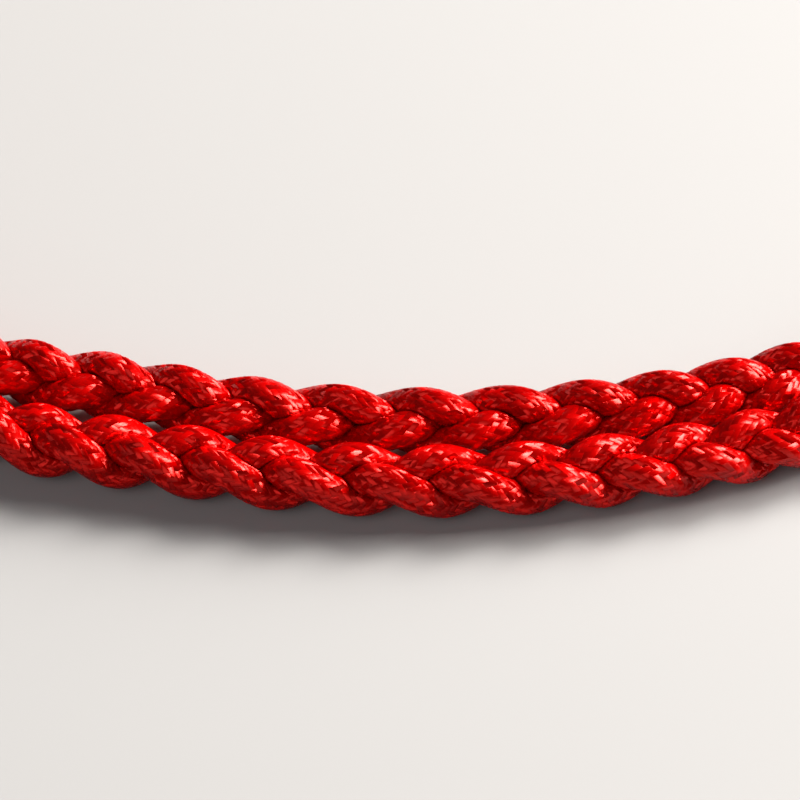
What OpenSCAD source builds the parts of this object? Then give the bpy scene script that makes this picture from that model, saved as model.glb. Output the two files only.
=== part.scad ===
// Lead rope: three braided cords plaited into one rope, wound in two turns side by side,
// with a swivel bolt snap at one end and a whipped, sealed end at the other.
// Millimetres, +Z up. The origin is on the floor, under the middle of the snap, and the hook points to +X.

/* [Rope] */
// Width of the plaited rope
rope_d = 12.5; // [10:0.5:16]
// Diameter of each of the three cords
cord_d = 6; // [5:0.25:7]
// Radius of the outer turn, at the middle of the rope
turn_r = 198; // [160:1:240]
// Open gap between two turns that lie side by side
turn_gap = 3.5; // [2:0.5:8]
// Straight rope between the whipping and the coil
lead_len = 97; // [80:1:140]
// How far the loose end runs along inside the coil, in degrees
tail_angle = 114; // [70:1:180]
// How far the loose end drifts away from the coil
tail_drift = 12; // [0:1:30]

/* [Rope ends] */
// Length of the eye that the cords make around the snap's bar
bight_len = 26; // [22:1:36]
// Gap between the snap's bar and the cords around it
bight_gap = 0.3; // [0.3:0.05:0.6]
// Length of the whipping that binds the eye
eye_whip_len = 24; // [16:1:36]
// Width of the whipping that binds the eye
eye_whip_w = 17; // [16:0.5:21]
// How much taller the whipping that binds the eye is than the rope
eye_whip_over = 0.9; // [0:0.1:2]
// Length of the whipping at the loose end
tail_whip_len = 18; // [10:1:30]
// Thickness of the twine
twine_d = 0.8; // [0.6:0.1:1.2]
// Length of the sealed cord ends that stand out of the whipping
tip_len = 13; // [8:1:20]
// Angle by which the cord ends spread
tip_spread = 7; // [0:1:10]

/* [Snap body] */
// Diameter of the barrel
barrel_d = 15; // [14.5:0.5:18]
// Length of the barrel
barrel_len = 46; // [45:1:56]
// Opening between the barrel and the hook's nose when the bolt is drawn back
gate = 17; // [15:0.5:22]
// Inner diameter of the hook's bow
bow_in_d = 18; // [16:0.5:24]
// Thickness of the hook's bar
hook_bar = 7.5; // [6:0.25:8.5]
// Corner radius of the hook's bar
hook_corner = 2.2; // [1:0.1:2.6]
// Straight length of the nose past the bow
nose_len = 4; // [4:0.5:7]
// Angle at which the hook's arm leaves the barrel
arm_angle = 50; // [40:1:60]
// Radius of the bend between the arm and the back of the hook
arm_bend_r = 14; // [10:1:18]
// Straight length of the back of the hook
back_len = 8; // [4:1:12]

/* [Bolt] */
// Diameter of the sliding bolt
bolt_d = 9; // [7:0.5:9]
// Running clearance around the bolt
bolt_gap = 0.05; // [0.02:0.01:0.1]
// How far the bolt slides back
bolt_travel = 14; // [11:0.1:14]
// Distance between the bolt's end and the hook's nose when it is shut
nose_gap = 0.3; // [0.3:0.1:1]
// Length of the bevel at the bolt's end
bolt_bevel = 2; // [1:0.1:2.5]
// Diameter of the stud's pin
pin_d = 4; // [3:0.25:4.5]
// Depth of the pin's hole in the bolt
pin_depth = 3.6; // [2.5:0.1:4]
// Gap around the pin in its slot
slot_gap = 0.3; // [0.2:0.05:0.6]
// Diameter of the thumb stud
stud_d = 8.4; // [7:0.2:10]
// Height of the thumb stud
stud_t = 5; // [4:0.25:6]
// Wire thickness of the spring
spring_wire = 0.9; // [0.6:0.1:1.1]
// Number of turns of the spring
spring_turns = 7; // [5:1:8]

/* [Swivel] */
// Wire thickness of the swivel eye
eye_wire = 5; // [4:0.25:5.5]
// Inner width of the swivel eye
eye_in_w = 22; // [21.5:0.5:26]
// Inner length of the swivel eye
eye_in_len = 14; // [13:0.5:20]
// Radius of the eye's corners at the bar
eye_corner_r = 4; // [3.5:0.1:4]
// Radius of the eye's shoulders
eye_shoulder_r = 8; // [6:0.5:9]
// Diameter of the swivel's stem
stem_d = 5.2; // [4:0.2:5.6]
// Running clearance around the stem
stem_gap = 0.05; // [0.02:0.01:0.1]
// Diameter of the stem's riveted head
head_d = 8.8; // [8:0.2:9]
// Thickness of the stem's riveted head
head_t = 2.2; // [1.6:0.1:2.6]
// Thickness of the washer under the head
washer_t = 0.8; // [0.6:0.1:1]
// Length of the collar inside the barrel
collar_len = 3.6; // [3:0.1:4]
// Thickness of the collar's rim
collar_rim_t = 1.4; // [1:0.1:2]
// Diameter of the collar's rim
collar_rim_d = 12.4; // [11.5:0.2:13]

/* [Hidden] */
$fn = 64;

// Clearances that no one sets apart
seat_gap = 0.02;     // a pressed or screwed piece in its seat
face_gap = 0.1;      // between faces that turn or slide on each other
floor_gap = 0.02;    // under a rope that lies on the floor
slimmer = 0.04;      // between a straight bar's surface and a bend's
bar_lap = 0.4;       // how far a straight bar reaches into a bend
corner_steps = 4;    // flats on a rounded corner of the hook's bar

// The snap, measured along its own axis from the back of the barrel
bow_r = bow_in_d / 2 + hook_bar / 2;            // middle of the hook's bar around the bow
nose_u = barrel_len + gate;                     // end of the nose
bow_u = nose_u + nose_len;                      // centre of the bow
bolt_front_u = nose_u - nose_gap;
web_u = 13;                                     // the spring stands on this wall
web_t = 4;
spring_shut = 4.8;                              // least length of the spring's room
bolt_back_u = web_u + spring_shut + bolt_travel + face_gap;
pin_u = bolt_back_u + pin_d / 2 + 2;
socket_len = web_u - web_t;
socket_d = head_d + 1.6;
head_u = collar_len + washer_t + 2 * face_gap;
boss_len = 4.5;
boss_d = 8.4;
eye_top_u = -collar_rim_t - face_gap - boss_len;
eye_bar_u = eye_top_u - eye_in_len - eye_wire;
eye_side_y = (eye_in_w + eye_wire) / 2;

// Where the snap lies: the barrel rests on the floor, and the hook's back has rolled down to it
axis_z = barrel_d / 2;
corner_y = 2 * bow_r + hook_bar / 2 - hook_corner;
corner_z = hook_bar / 2 - hook_corner;
hook_roll = asin((axis_z - hook_corner) / norm([corner_y, corner_z])) - atan2(corner_z, corner_y);
snap_front_u = bow_u + bow_r + hook_bar / 2;
snap_back_u = eye_bar_u - eye_wire / 2;
snap_left = corner_y * cos(hook_roll) + corner_z * sin(hook_roll) + hook_corner;
snap_right = eye_side_y + eye_wire / 2;
axis_y = (snap_right - snap_left) / 2;
snap_x = -(snap_front_u + snap_back_u) / 2;

// The rope
bar_x = snap_x + eye_bar_u;
bight_w = 3 * cord_d;
bight_r = axis_z - floor_gap;
whip_x = bar_x - bight_len;
rope_x = whip_x - eye_whip_len;
eye_whip_h = rope_d + eye_whip_over;
whip_z = eye_whip_h / 2 + floor_gap;
rope_z = rope_d / 2 + floor_gap;
lane_pitch = rope_d + turn_gap;
coil_x = rope_x - lead_len;
coil_y = axis_y - turn_r;
lane_start = 20;      // where a turn starts to leave its lane
lane_change = 55;     // how far it goes around meanwhile
tail_end = 720 + lane_start + lane_change + tail_angle;
drift_over = 60;      // the stretch, in degrees, over which the loose end drifts
tube_sides = 10;
tube_step = 2.5 * rope_d;
lead_in = 4 * rope_d; // how far the straight rope reaches past the coil's edge

function eased(t) = let (s = max(0, min(1, t))) s * s * (3 - 2 * s);

// The lane that the rope is in at an angle counted from +X through all its turns
function lane_at(angle) = eased((angle - 360 - lane_start) / lane_change)
    + eased((angle - 720 - lane_start) / lane_change);
function drift_at(angle) = tail_drift * eased((angle - tail_end) / drift_over + 1);
function coil_point(angle) = let (r = turn_r - lane_pitch * lane_at(angle) - drift_at(angle))
    [coil_x + r * cos(angle), coil_y + r * sin(angle), rope_z];

// The rope's straight stretch, from the whipping down to the floor and on to the coil
lead_route = [
    [0, whip_z], [-5, whip_z - 0.02], [-10, whip_z - 0.1], [-16, whip_z - 0.25],
    [-22, rope_z + 0.1], [-30, rope_z], [-40, rope_z], [-lead_len + lead_in, rope_z],
];
tail_from = 720 + lane_start + 0.4 * lane_change; // still against the coil
tail_steps = ceil((tail_end - tail_from) * PI / 180 * turn_r / tube_step);
tail_route = [for (i = [0 : tail_steps]) coil_point(tail_from + (tail_end - tail_from) * i / tail_steps)];

// A tube along a route: rings of points across it, joined by quads and closed at both ends
function along(route, i) = let (
        a = route[max(0, i - 1)], b = route[min(len(route) - 1, i + 1)], d = b - a
    ) d / norm(d);
function ring(centre, dir, r, sides) = let (
        side = cross([0, 0, 1], dir) / norm(cross([0, 0, 1], dir)), up = cross(dir, side)
    ) [for (k = [0 : sides - 1]) let (a = 360 * (k + 0.5) / sides)
        centre + r * (cos(a) * side + sin(a) * up)];
module tube(route, d, sides) {
    rings = [for (i = [0 : len(route) - 1]) each ring(route[i], along(route, i), d / 2, sides)];
    last = (len(route) - 1) * sides;
    walls = [for (i = [0 : len(route) - 2], k = [0 : sides - 1]) let (n = (k + 1) % sides)
        [i * sides + k, (i + 1) * sides + k, (i + 1) * sides + n, i * sides + n]];
    start = [for (k = [0 : sides - 1]) k];
    end = [for (k = [sides - 1 : -1 : 0]) last + k];
    polyhedron(points = rings, faces = concat(walls, [start], [end]), convexity = 8);
}

// A turned piece on the snap's axis, from a profile of [place along the axis, radius]
module turned(profile) {
    rotate([0, 90, 0]) rotate_extrude()
        polygon([[0, profile[0][0]], for (p = profile) [p[1], p[0]], [0, profile[len(profile) - 1][0]]]);
}
module rod(from, to, d) {
    translate([from, 0, 0]) rotate([0, 90, 0]) cylinder(d = d, h = to - from);
}
module at_snap() {
    translate([snap_x, axis_y, axis_z]) rotate([-hook_roll, 0, 0]) children();
}
module at_eye() {
    translate([snap_x, axis_y, axis_z]) children();
}

// Section of the hook's bar, a square with rounded corners
function bar_section(inset = 0) = let (h = hook_bar / 2 - hook_corner, r = hook_corner - inset)
    [for (q = [0 : 3], s = [0 : corner_steps])
        let (a = 90 * q + 90 * s / corner_steps, sx = (q == 0 || q == 3) ? 1 : -1, sy = q < 2 ? 1 : -1)
        [sx * h + r * cos(a), sy * h + r * sin(a)]];
// A straight is a touch slimmer than the bends, and ends inside them
module bar_straight(from, to) {
    translate([from, 0, 0]) rotate([90, 0, 90]) linear_extrude(to - from) polygon(bar_section(slimmer));
}
module bar_bend(r, angle) {
    rotate_extrude(angle = angle) translate([r, 0]) polygon(bar_section());
}

// The hook lies in the XY plane: arm, bend, back, bow and nose
module hook() {
    bend_dx = arm_bend_r * sin(arm_angle);
    bend_dy = arm_bend_r * (1 - cos(arm_angle));
    back_y = 2 * bow_r;
    back_from = bow_u - back_len;
    arm_top = [back_from - bend_dx, back_y - bend_dy];
    arm_foot_y = barrel_d / 5;
    arm_len = (arm_top[1] - arm_foot_y) / sin(arm_angle);
    translate(arm_top) rotate(arm_angle) bar_straight(-arm_len, bar_lap);
    translate([back_from, back_y - arm_bend_r, 0]) rotate(90) bar_bend(arm_bend_r, arm_angle);
    translate([0, back_y, 0]) bar_straight(back_from - bar_lap, bow_u + bar_lap);
    translate([bow_u, bow_r, 0]) rotate(-90) bar_bend(bow_r, 180);
    bar_straight(nose_u, bow_u + bar_lap);
}

module barrel() {
    rim = 1.2;
    back_d = collar_rim_d + 0.8;
    turned([
        [0, back_d / 2 - 0.6], [0.6, back_d / 2], [5, barrel_d / 2 - 0.3], [7, barrel_d / 2],
        [barrel_len - rim, barrel_d / 2], [barrel_len - rim / 3, barrel_d / 2 - rim / 3],
        [barrel_len, barrel_d / 2 - rim],
    ]);
}

module slot() {
    w = pin_d + 2 * slot_gap;
    from = pin_u - bolt_travel;
    depth = barrel_d / 2 + 1;
    translate([from, -depth, -w / 2]) cube([bolt_travel, depth, w]);
    for (u = [from, pin_u]) translate([u, 0, 0]) rotate([90, 0, 0]) cylinder(d = w, h = depth);
}

module snap_body() {
    color("silver") at_snap() difference() {
        union() {
            barrel();
            hook();
        }
        rod(web_u, barrel_len + 1, bolt_d + 2 * bolt_gap);
        rod(-1, socket_len, socket_d);
        slot();
    }
}

module snap_bolt() {
    color("gainsboro") at_snap() difference() {
        turned([
            [bolt_back_u, bolt_d / 2 - 0.4], [bolt_back_u + 0.4, bolt_d / 2],
            [bolt_front_u - bolt_bevel, bolt_d / 2], [bolt_front_u - bolt_bevel / 3, bolt_d / 2 - 0.7],
            [bolt_front_u, bolt_d / 2 - 1.6],
        ]);
        translate([pin_u, 0, 0]) rotate([90, 0, 0])
            translate([0, 0, bolt_d / 2 - pin_depth]) cylinder(d = pin_d + 2 * seat_gap, h = pin_depth + 1);
    }
}

module bolt_stud() {
    under = barrel_d / 2 + 0.4;
    neck = 0.9;
    color("gainsboro") at_snap() translate([pin_u, 0, 0]) rotate([90, 0, 0]) rotate_extrude()
        polygon([
            [0, bolt_d / 2 - pin_depth + seat_gap], [pin_d / 2, bolt_d / 2 - pin_depth + seat_gap],
            [pin_d / 2, under], [stud_d / 2 - 0.8, under], [stud_d / 2, under + 0.6],
            [stud_d / 2, under + stud_t - 1.8], [stud_d / 2 - 0.5, under + stud_t - 1],
            [stud_d / 2 - neck * 1.6, under + stud_t - 0.35], [stud_d / 4, under + stud_t - 0.1],
            [0, under + stud_t],
        ]);
}

module bolt_spring() {
    from = web_u + face_gap + spring_wire / 2;
    to = bolt_back_u - face_gap - spring_wire / 2;
    r = bolt_d / 2 - spring_wire / 2 - 0.35;
    steps = spring_turns * 16;
    path = [for (i = [0 : steps]) let (a = 360 * spring_turns * i / steps)
        [r * cos(a), r * sin(a), (to - from) * i / steps]];
    color("dimgray") at_snap() translate([from, 0, 0]) rotate([0, 90, 0]) tube(path, spring_wire, 6);
}

module swivel_collar() {
    color("silver") at_snap() difference() {
        union() {
            rod(0, collar_len, socket_d - 2 * seat_gap);
            turned([
                [-collar_rim_t, collar_rim_d / 2 - 0.5], [-collar_rim_t + 0.5, collar_rim_d / 2],
                [0, collar_rim_d / 2],
            ]);
        }
        rod(-collar_rim_t - 1, collar_len + 1, stem_d + 2 * stem_gap);
    }
}

module swivel_washer() {
    color("darkgray") at_snap() difference() {
        rod(collar_len + face_gap, collar_len + face_gap + washer_t, head_d + 0.6);
        rod(0, head_u + 1, stem_d + 2 * stem_gap);
    }
}

// The swivel eye: a riveted stem, a boss, round shoulders, two sides and a straight bar
module swivel_eye() {
    side_from = eye_top_u - eye_shoulder_r;
    side_to = eye_bar_u + eye_corner_r;
    top_half = eye_side_y - eye_shoulder_r;
    bar_half = eye_side_y - eye_corner_r;
    color("silver") at_eye() {
        turned([
            [eye_top_u, boss_d / 2 - 1], [eye_top_u + 1.2, boss_d / 2],
            [eye_top_u + boss_len - 0.8, boss_d / 2], [eye_top_u + boss_len, boss_d / 2 - 0.8],
            [eye_top_u + boss_len, stem_d / 2], [head_u, stem_d / 2], [head_u, head_d / 2],
            [head_u + head_t - 1, head_d / 2], [head_u + head_t, head_d / 2 - 1.2],
        ]);
        translate([eye_top_u, -top_half, 0]) rotate([-90, 0, 0]) cylinder(d = eye_wire, h = 2 * top_half);
        translate([eye_bar_u, -bar_half, 0]) rotate([-90, 0, 0]) cylinder(d = eye_wire, h = 2 * bar_half);
        for (side = [-1, 1]) {
            rod_from = min(side_to, side_from);
            translate([0, side * eye_side_y, 0]) rod(rod_from, max(side_to, side_from), eye_wire);
            translate([side_from, side * top_half, 0]) rotate(side > 0 ? 0 : -90)
                rotate_extrude(angle = 90) translate([eye_shoulder_r, 0]) circle(d = eye_wire);
            translate([side_to, side * bar_half, 0]) rotate(side > 0 ? 90 : 180)
                rotate_extrude(angle = 90) translate([eye_corner_r, 0]) circle(d = eye_wire);
        }
    }
}

// The cords' bight around the bar, as wide as the three cords side by side
module rope_eye() {
    throat = eye_whip_h / 2 - twine_d;
    drop = whip_z - axis_z;
    hole_r = eye_wire / 2 + bight_gap;
    hole_len = bight_len * 0.55;
    hole_end = 0.4;
    side = bight_w + 2;
    color("red") translate([bar_x, axis_y, axis_z]) rotate([90, 0, 0]) difference() {
        union() {
            cylinder(r = bight_r, h = bight_w, center = true);
            linear_extrude(bight_w, center = true)
                polygon([[0, bight_r - 0.05], [0, -bight_r + 0.05], [-bight_len, drop - throat],
                    [-bight_len, drop + throat]]);
        }
        cylinder(r = hole_r, h = side, center = true);
        linear_extrude(side, center = true)
            polygon([[0, hole_r - 0.05], [0, -hole_r + 0.05], [-hole_len, -hole_end], [-hole_len, hole_end]]);
    }
}

module eye_whipping() {
    color("darkred") translate([whip_x, axis_y, whip_z]) rotate([90, 0, -90]) linear_extrude(eye_whip_len) {
        flat = eye_whip_w - eye_whip_h;
        square([flat, eye_whip_h], center = true);
        for (side = [-1, 1]) translate([side * flat / 2, 0]) circle(d = eye_whip_h);
    }
}

module rope_lead() {
    color("red") tube([for (p = lead_route) [rope_x + p[0], axis_y, p[1]]], rope_d, tube_sides);
}

// Both turns, side by side
module rope_coil() {
    edge = rope_d / 4;
    inner = turn_r - lane_pitch - rope_d / 2;
    outer = turn_r + rope_d / 2;
    low = floor_gap / 2;
    high = rope_d + floor_gap;
    color("red") translate([coil_x, coil_y, 0]) rotate_extrude($fn = 96) polygon([
        [inner + edge, low], [outer - edge, low], [outer, low + edge], [outer, high - edge],
        [outer - edge, high], [inner + edge, high], [inner, high - edge], [inner, low + edge],
    ]);
}

module rope_tail() {
    color("red") tube(tail_route, rope_d, tube_sides);
}

// The loose end, on the floor, pointing on along the last turn
module at_tail() {
    translate(coil_point(tail_end)) rotate(tail_end + 90) children();
}

module tail_whipping() {
    whip_d = rope_d + 2 * twine_d;
    color("darkred") at_tail() translate([0, 0, twine_d])
        turned([[0, whip_d / 2 - 0.4], [0.4, whip_d / 2], [tail_whip_len - 0.4, whip_d / 2],
            [tail_whip_len, whip_d / 2 - 0.4]]);
}

module cord_tips() {
    end_d = cord_d - 0.2;
    off = end_d / sqrt(3) + 0.05;
    color("red") at_tail() translate([tail_whip_len, 0, twine_d + 0.1])
        for (k = [0 : 2]) rotate([120 * k + 90, 0, 0]) translate([0, off, 0])
            rotate([0, 0, tip_spread])
                turned([[0.35, end_d / 2], [tip_len - 1.6, end_d / 2], [tip_len - 0.5, end_d / 2 - 0.8],
                    [tip_len, end_d / 2 - 2]]);
}

snap_body();
snap_bolt();
bolt_stud();
bolt_spring();
swivel_collar();
swivel_washer();
swivel_eye();
rope_eye();
eye_whipping();
rope_lead();
rope_coil();
rope_tail();
tail_whipping();
cord_tips();
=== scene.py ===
"""Looks of the lead rope: three braided cords in one plait, two twine whippings and a brass swivel snap."""

import math

import bpy
import numpy as np
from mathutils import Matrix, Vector


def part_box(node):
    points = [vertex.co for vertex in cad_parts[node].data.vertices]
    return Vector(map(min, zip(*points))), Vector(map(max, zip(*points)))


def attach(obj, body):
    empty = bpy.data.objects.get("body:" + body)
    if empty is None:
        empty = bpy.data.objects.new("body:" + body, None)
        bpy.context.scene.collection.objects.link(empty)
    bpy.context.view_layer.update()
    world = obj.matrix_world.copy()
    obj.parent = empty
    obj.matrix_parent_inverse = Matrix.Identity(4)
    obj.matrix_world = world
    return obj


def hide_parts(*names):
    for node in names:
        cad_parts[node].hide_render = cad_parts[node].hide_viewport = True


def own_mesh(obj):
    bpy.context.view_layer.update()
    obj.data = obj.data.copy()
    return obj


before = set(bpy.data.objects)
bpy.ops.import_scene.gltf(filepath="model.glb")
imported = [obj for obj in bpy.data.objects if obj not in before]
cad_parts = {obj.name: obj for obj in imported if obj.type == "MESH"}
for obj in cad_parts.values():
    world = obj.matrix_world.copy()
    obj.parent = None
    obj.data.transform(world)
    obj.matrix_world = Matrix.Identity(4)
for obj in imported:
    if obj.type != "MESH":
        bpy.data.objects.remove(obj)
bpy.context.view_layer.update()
MM = 0.001
UPRIGHT = np.array([0.0, 0.0, 1.0])

# ---------------------------------------------------------------- the rope's route, as in the part's source
ROPE_D = 12.5 * MM
TURN_R = 198 * MM
LANE_PITCH = 16 * MM
LEAD_LEN = 97 * MM
LANE_START, LANE_CHANGE = 20, 55
TAIL_ANGLE = 114
TAIL_DRIFT, DRIFT_OVER = 12 * MM, 60
TWINE_D = 0.8 * MM
TAIL_RISE = 10    # degrees over which the rope rises at its end, by the thickness of its whipping
FLOOR_GAP = 0.02 * MM
CREST_RISE = 0.2 * MM   # the plait's crests stand this far outside its width
TAIL_END = 720 + LANE_START + LANE_CHANGE + TAIL_ANGLE
OUTER_FRONT, INNER_FRONT = 270.0, 630.0   # angles, through all the turns, at the middle of the coil's front

# Angle around the coil, and how far out of its lane the rope lies there, in mm
WANDER = [(190, 0), (240, 2.2), (248, 2.1), (257.5, -0.6), (300, -0.6), (350, 0),
          (560, 0), (600, 4.8), (605, 4.5), (614.5, 1.6), (632, 1.6), (651, 2.6), (690, 0)]

whip_low, whip_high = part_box("eye_whipping")
ROPE_X = whip_low.x
AXIS_Y = (whip_low.y + whip_high.y) / 2
ROPE_Z = ROPE_D / 2 + FLOOR_GAP + CREST_RISE
COIL_X = ROPE_X - LEAD_LEN
COIL_Y = AXIS_Y - TURN_R

# The straight stretch: distance from the whipping, and the rope's height there above where it rests, in mm
LEAD_ROUTE = [(0, 0.45), (5, 0.43), (10, 0.35), (16, 0.2), (22, 0.1), (30, 0), (40, 0), (60, 0), (80, 0)]


def eased(t):
    """0 up to t = 0, 1 from t = 1, and a smooth rise between them."""
    s = np.clip(t, 0, 1)
    return s * s * (3 - 2 * s)


def wander(angles):
    """How far the hand-laid turns stray towards each other around the coil's front."""
    total = np.zeros(len(angles))
    for (a, low), (b, high) in zip(WANDER[:-1], WANDER[1:]):
        inside = (angles >= a) & (angles < b)
        total[inside] = (low + (high - low) * eased((angles[inside] - a) / (b - a))) * MM
    return total


def coil_points(angles):
    """The rope's centreline at angles counted from +X through all its turns."""
    lane = sum(eased((angles - full - LANE_START) / LANE_CHANGE) for full in (360, 720))
    drift = TAIL_DRIFT * eased((angles - TAIL_END) / DRIFT_OVER + 1)
    r = TURN_R - LANE_PITCH * lane - drift + wander(angles)
    a = np.radians(angles)
    return np.stack([COIL_X + r * np.cos(a), COIL_Y + r * np.sin(a), np.full(len(a), ROPE_Z)], axis=1)


def rope_line():
    """Points along the rope, and at each the angle around the coil (90 all along the straight stretch)."""
    straight = [(ROPE_X - d * MM, AXIS_Y, ROPE_Z + up * MM) for d, up in LEAD_ROUTE]
    angles = np.arange(90, TAIL_END + 0.01, 1.0)
    points = np.concatenate([straight, coil_points(angles)])
    points[len(straight):, 2] += TWINE_D * eased((angles - TAIL_END) / TAIL_RISE + 1)
    return points, np.concatenate([np.full(len(straight), 90.0), angles])


LINE, LINE_ANGLES = rope_line()
LINE_S = np.concatenate([[0], np.cumsum(np.linalg.norm(np.diff(LINE, axis=0), axis=1))])
ROPE_LEN = float(LINE_S[-1])
FRONT_S = [float(np.interp(f, LINE_ANGLES, LINE_S)) for f in (OUTER_FRONT, INNER_FRONT)]

# ---------------------------------------------------------------- camera
CAM_ELEVATION = math.radians(47)
CAM_DISTANCE = 0.6
VIEW_WIDTH = 0.1425
AIM_LEFT, AIM_IN = 5 * MM, 11.9 * MM      # from the point midway between the two turns at the coil's front
CAM_AIM = Vector((COIL_X - AIM_LEFT, COIL_Y - TURN_R + LANE_PITCH / 2 + AIM_IN, ROPE_Z))


def add_camera():
    """Looks north over the coil's front, from above it."""
    back = Vector((0, -math.cos(CAM_ELEVATION), math.sin(CAM_ELEVATION)))
    bpy.ops.object.camera_add(location=CAM_AIM + back * CAM_DISTANCE)
    camera = bpy.context.object
    camera.rotation_euler = (math.pi / 2 - CAM_ELEVATION, 0, 0)
    camera.data.lens = camera.data.sensor_width * CAM_DISTANCE / VIEW_WIDTH
    camera.data.clip_start = 0.01
    bpy.context.scene.camera = camera


add_camera()

# ---------------------------------------------------------------- the plait
# Seen along the rope, each cord runs in a figure of eight: WIDE across the plait's face and DEEP through it
PLAIT_REPEAT = 44.6 * MM
CORD_R = 3.12 * MM
WIDE = 6.2 * MM - CORD_R
DEEP = 2.35 * MM
CREVICE = 0.05 * MM
CONTACT_PHASES, CONTACT_SIDES = 96, 64         # how finely the cords' pressed shape is worked out
LEAST_RADIUS, HALVINGS = 0.2, 9                # the search for it starts at this share of a cord's radius
NEIGHBOUR_REACH, NEIGHBOUR_STEP = 0.3, 0.004   # how far along a neighbour it looks, in repeats of the plait
FRONT_SPAN = 22.5     # degrees to each side of the coil's front in which the yarns stand out in the mesh
RELIEF_FADE = 4 * MM
COARSE_STEP = 1.17 * MM
COARSE_SIDES, FINE_SIDES = 24, 48
STEPS_A_LAY = 3
END_LAP = 10 * MM     # how far the cords run on inside the whippings
MEASURE_STEP = 0.25 * MM
PATH_POINTS = 220

# How the plait's face is turned about the rope at the front of each turn, in degrees from upright outwards,
# how much it turns with each degree around the coil, and the plait's phase there
OUTER_ROLL, OUTER_TWIST, OUTER_PHASE = 188.0, 0.75, -1.87
INNER_ROLL, INNER_TWIST, INNER_PHASE = 28.0, 0.0, 0.52

ROLL_HOLD = 60        # degrees past each front before the roll starts to change towards the next one's
TWIST_SPAN = 40       # degrees to each side of the front over which the plait goes on turning
PHASE_HOLD = 0.25     # metres past each front before the phase starts to shift

# The plait is pulled tighter before and after the front than at it
TIGHTEN, TIGHT_REACH = (0.35, 0.8), 200 * MM

# The sheath of a cord: yarns around it in each of two directions, each over two and under two of the others
YARNS, WEAVE = 16, 4
YARN_LAY = 1.32 * MM
RELIEF = 0.12 * MM
RELIEF_MIDDLE = 0.6   # share of the relief that lies inside the cord's own radius
BUMP_DEPTH = 0.18 * MM
CROWN_BUMP, FILAMENT_BUMP, TILT_BUMP, LEAN_BUMP, ARCH_BUMP = 0.22, 0.13, 4.8, 3.2, 0.2


def figure(phase):
    """Where a cord is, across the plait's face and through it."""
    return WIDE * np.cos(phase), DEEP * np.sin(2 * phase)


def cord_tangent(phase):
    """A cord's direction along the rope, across the plait's face and through it."""
    k = 2 * np.pi / PLAIT_REPEAT
    d = np.stack([np.ones_like(phase), -WIDE * k * np.sin(phase), 2 * DEEP * k * np.cos(2 * phase)], axis=1)
    return d / np.linalg.norm(d, axis=1)[:, None]


def square_to(tangent, upright):
    """Two directions square to the tangent, the first as near upright as it can be."""
    up = upright - (upright * tangent).sum(1)[:, None] * tangent
    up /= np.linalg.norm(up, axis=1)[:, None]
    return up, np.cross(tangent, up)


def rays(around, up, side):
    """Unit vectors all round each ring, at the angles given."""
    return np.cos(around)[None, :, None] * up[:, None] + np.sin(around)[None, :, None] * side[:, None]


def pressed_radius():
    """A cord's radius by phase and by direction, flat where a neighbour lies against it."""
    phase = np.linspace(0, 2 * np.pi, CONTACT_PHASES, endpoint=False)
    around = np.linspace(0, 2 * np.pi, CONTACT_SIDES, endpoint=False)
    centre = np.stack([phase / (2 * np.pi) * PLAIT_REPEAT, *figure(phase)], axis=1)
    up, side = square_to(cord_tangent(phase), np.tile(UPRIGHT, (CONTACT_PHASES, 1)))
    ray = rays(around, up, side)
    low = np.full((CONTACT_PHASES, CONTACT_SIDES), LEAST_RADIUS * CORD_R)
    high = np.full(low.shape, CORD_R)
    run = np.arange(-NEIGHBOUR_REACH, NEIGHBOUR_REACH, NEIGHBOUR_STEP)
    for _ in range(HALVINGS):
        mid = (low + high) / 2
        near = np.full(mid.shape, np.inf)
        for i in range(CONTACT_PHASES):
            p = centre[i] + mid[i][:, None] * ray[i]
            for share in (1 / 3, 2 / 3):
                t = phase[i] / (2 * np.pi) + run
                other = np.stack([t * PLAIT_REPEAT, *figure(2 * np.pi * (t + share))], axis=1)
                d = np.linalg.norm(p[:, None] - other[None], axis=2).min(axis=1)
                near[i] = np.minimum(near[i], d)
        free = near - mid > CREVICE
        low, high = np.where(free, mid, low), np.where(free, high, mid)
    for axis in (0, 1):
        low = (np.roll(low, 1, axis) + 2 * low + np.roll(low, -1, axis)) / 4
    return low


CONTACT = pressed_radius()


def radius_at(phase, around):
    """CONTACT read between its entries, for one phase a ring and one direction a side."""
    n, m = CONTACT.shape
    a, b = (phase / (2 * np.pi) % 1) * n, (around / (2 * np.pi) % 1) * m
    i, j = np.floor(a).astype(int) % n, np.floor(b).astype(int) % m
    fa, fb = (a - np.floor(a))[:, None], (b - np.floor(b))[None, :]
    rows = CONTACT[:, j] * (1 - fb) + CONTACT[:, (j + 1) % m] * fb
    return rows[i] * (1 - fa) + rows[(i + 1) % n] * fa


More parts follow.
